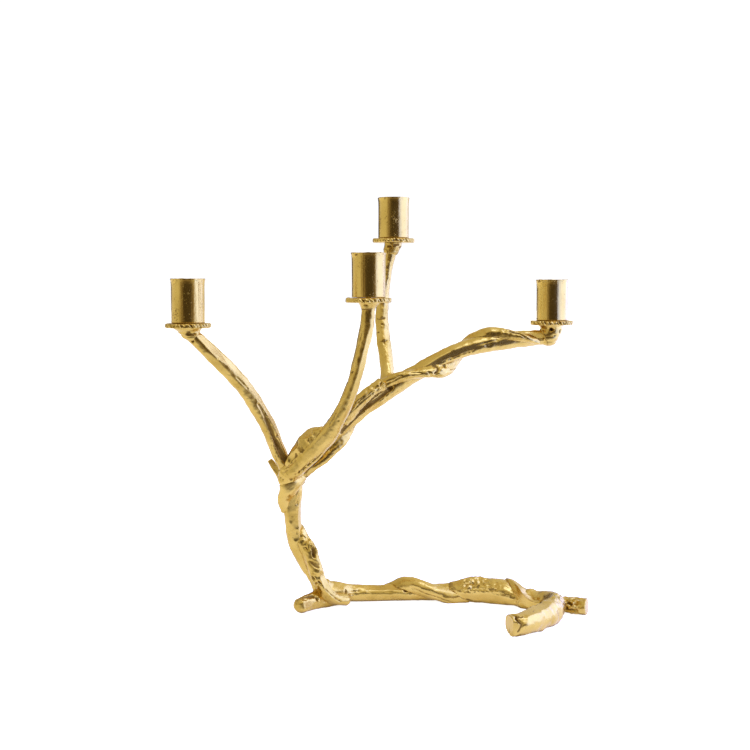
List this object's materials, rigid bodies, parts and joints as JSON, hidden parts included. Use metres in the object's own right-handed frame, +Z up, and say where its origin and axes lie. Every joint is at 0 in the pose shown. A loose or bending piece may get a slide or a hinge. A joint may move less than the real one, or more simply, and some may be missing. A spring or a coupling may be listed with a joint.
{
  "type": "tabletop candelabra",
  "caption": "Free-standing candelabra shaped as a twisted vine: a low branching base, a short trunk and spreading arms, each ending in a drip pan and a straight candle cup.",
  "frame": {"origin": "middle of the footprint's bounding box, at table level", "axes": "+Z up, +X to the right along the base, +Y away from the front, so the front is seen looking along +Y"},
  "size_m": [0.3384, 0.1602, 0.3427],
  "materials": {
    "castings": "lost-wax cast, polished on the high places, with pits and a brown patina left in the grooves",
    "cups": "turned tube, polished bright with a slight tarnish",
    "drip_pans": "polished, with a beaten and pitted rim and a brown patina in its hollows",
    "screws": "plain machined brass"
  },
  "bodies": {
    "root": {"arm_burl": "castings", "bark_log": "castings", "base_runner": "castings", "base_twine": "castings", "curled_tail": "castings", "cut_twig": "castings", "fork_ridge": "castings", "front_arm": "castings", "front_cup": "cups", "front_cup_screw": "screws", "front_drip_pan": "drip_pans", "front_foot": "castings", "front_seat": "castings", "heel_foot": "castings", "inner_strand": "castings", "left_arm": "castings", "left_cup": "cups", "left_cup_screw": "screws", "left_drip_pan": "drip_pans", "left_seat": "castings", "limb_twine": "castings", "rear_arm": "castings", "rear_cup": "cups", "rear_cup_screw": "screws", "rear_drip_pan": "drip_pans", "rear_seat": "castings", "right_cup": "cups", "right_cup_screw": "screws", "right_drip_pan": "drip_pans", "right_foot": "castings", "right_limb": "castings", "right_seat": "castings", "trunk_core": "castings", "trunk_twine": "castings"}
  },
  "joints": []
}
